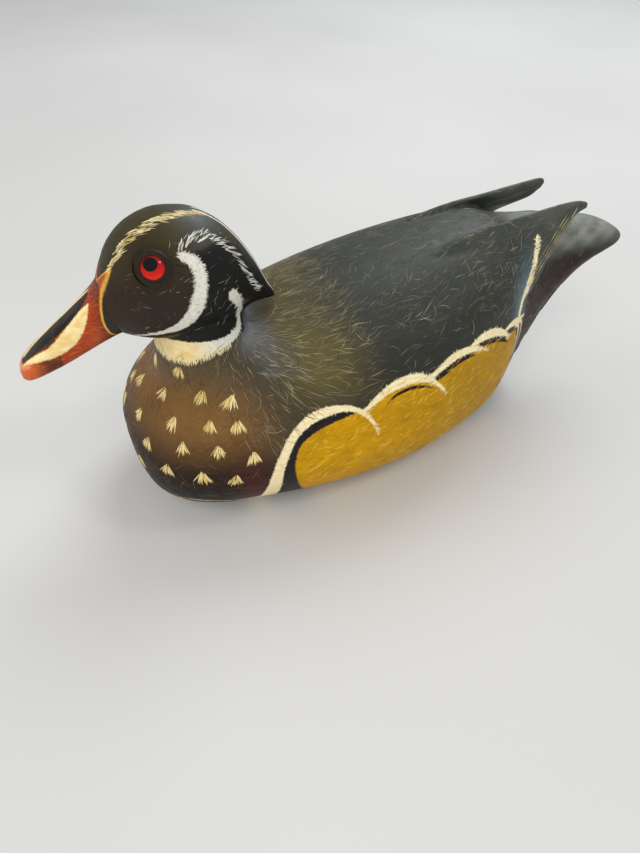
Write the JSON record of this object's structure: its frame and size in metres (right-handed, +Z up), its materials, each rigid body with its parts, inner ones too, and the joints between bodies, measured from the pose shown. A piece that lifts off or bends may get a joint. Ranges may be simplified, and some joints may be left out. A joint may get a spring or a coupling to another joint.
{
  "type": "floating duck decoy",
  "caption": "Hollow carved and painted wood duck decoy with glass eyes, recessed ballast and a swinging anchor-line ring in its flat bottom.",
  "frame": {"origin": "middle of the flat underside that the decoy stands on, under the centre of its outline", "axes": "the duck faces -Y with its left side at +X, and +Z is up"},
  "size_m": [0.131, 0.347, 0.1528],
  "materials": {
    "body_paint": "satin hand-brushed oil paint on wood: charcoal back, brown spotted breast, ochre flanks",
    "board_paint": "worn dark paint on wood",
    "head_paint": "satin black and olive paint with cream strokes",
    "bill_paint": "satin red-orange, cream and black paint",
    "tail_paint": "satin grey paint",
    "wing_paint": "satin charcoal paint",
    "eye_glass": "polished red glass with a black pupil",
    "eye_putty": "black epoxy putty",
    "dowel_wood": "bare birch",
    "plated_steel": "zinc plated",
    "screw_brass": "dulled brass",
    "cast_lead": "dull grey cast lead"
  },
  "bodies": {
    "duck": {"body_upper": "body_paint", "bottom_board": "board_paint", "head": "head_paint", "bill": "bill_paint", "tail_insert": "tail_paint", "left_wing_tip": "wing_paint", "right_wing_tip": "wing_paint", "left_eye": "eye_glass", "right_eye": "eye_glass", "left_eye_putty": "eye_putty", "right_eye_putty": "eye_putty", "neck_dowel": "dowel_wood", "bill_dowel": "dowel_wood", "left_tail_dowel": "dowel_wood", "right_tail_dowel": "dowel_wood", "left_wing_dowel": "dowel_wood", "right_wing_dowel": "dowel_wood", "neck_screw": "plated_steel", "neck_screw_washer": "plated_steel", "bottom_screw_front": "screw_brass", "bottom_screw_rear": "screw_brass", "bottom_screw_front_left": "screw_brass", "bottom_screw_front_right": "screw_brass", "bottom_screw_rear_left": "screw_brass", "bottom_screw_rear_right": "screw_brass", "ballast_weight": "cast_lead", "weight_screw_front": "screw_brass", "weight_screw_rear": "screw_brass", "line_tie_staple": "screw_brass"},
    "ring": {"line_tie_ring": "screw_brass"}
  },
  "joints": [
    {"name": "ring_swing", "type": "hinge", "parent": "duck", "child": "ring", "pos_m": [0, -0.072, 0.0055], "axis": [1, 0, 0], "range_deg": [-14, 100]}
  ]
}
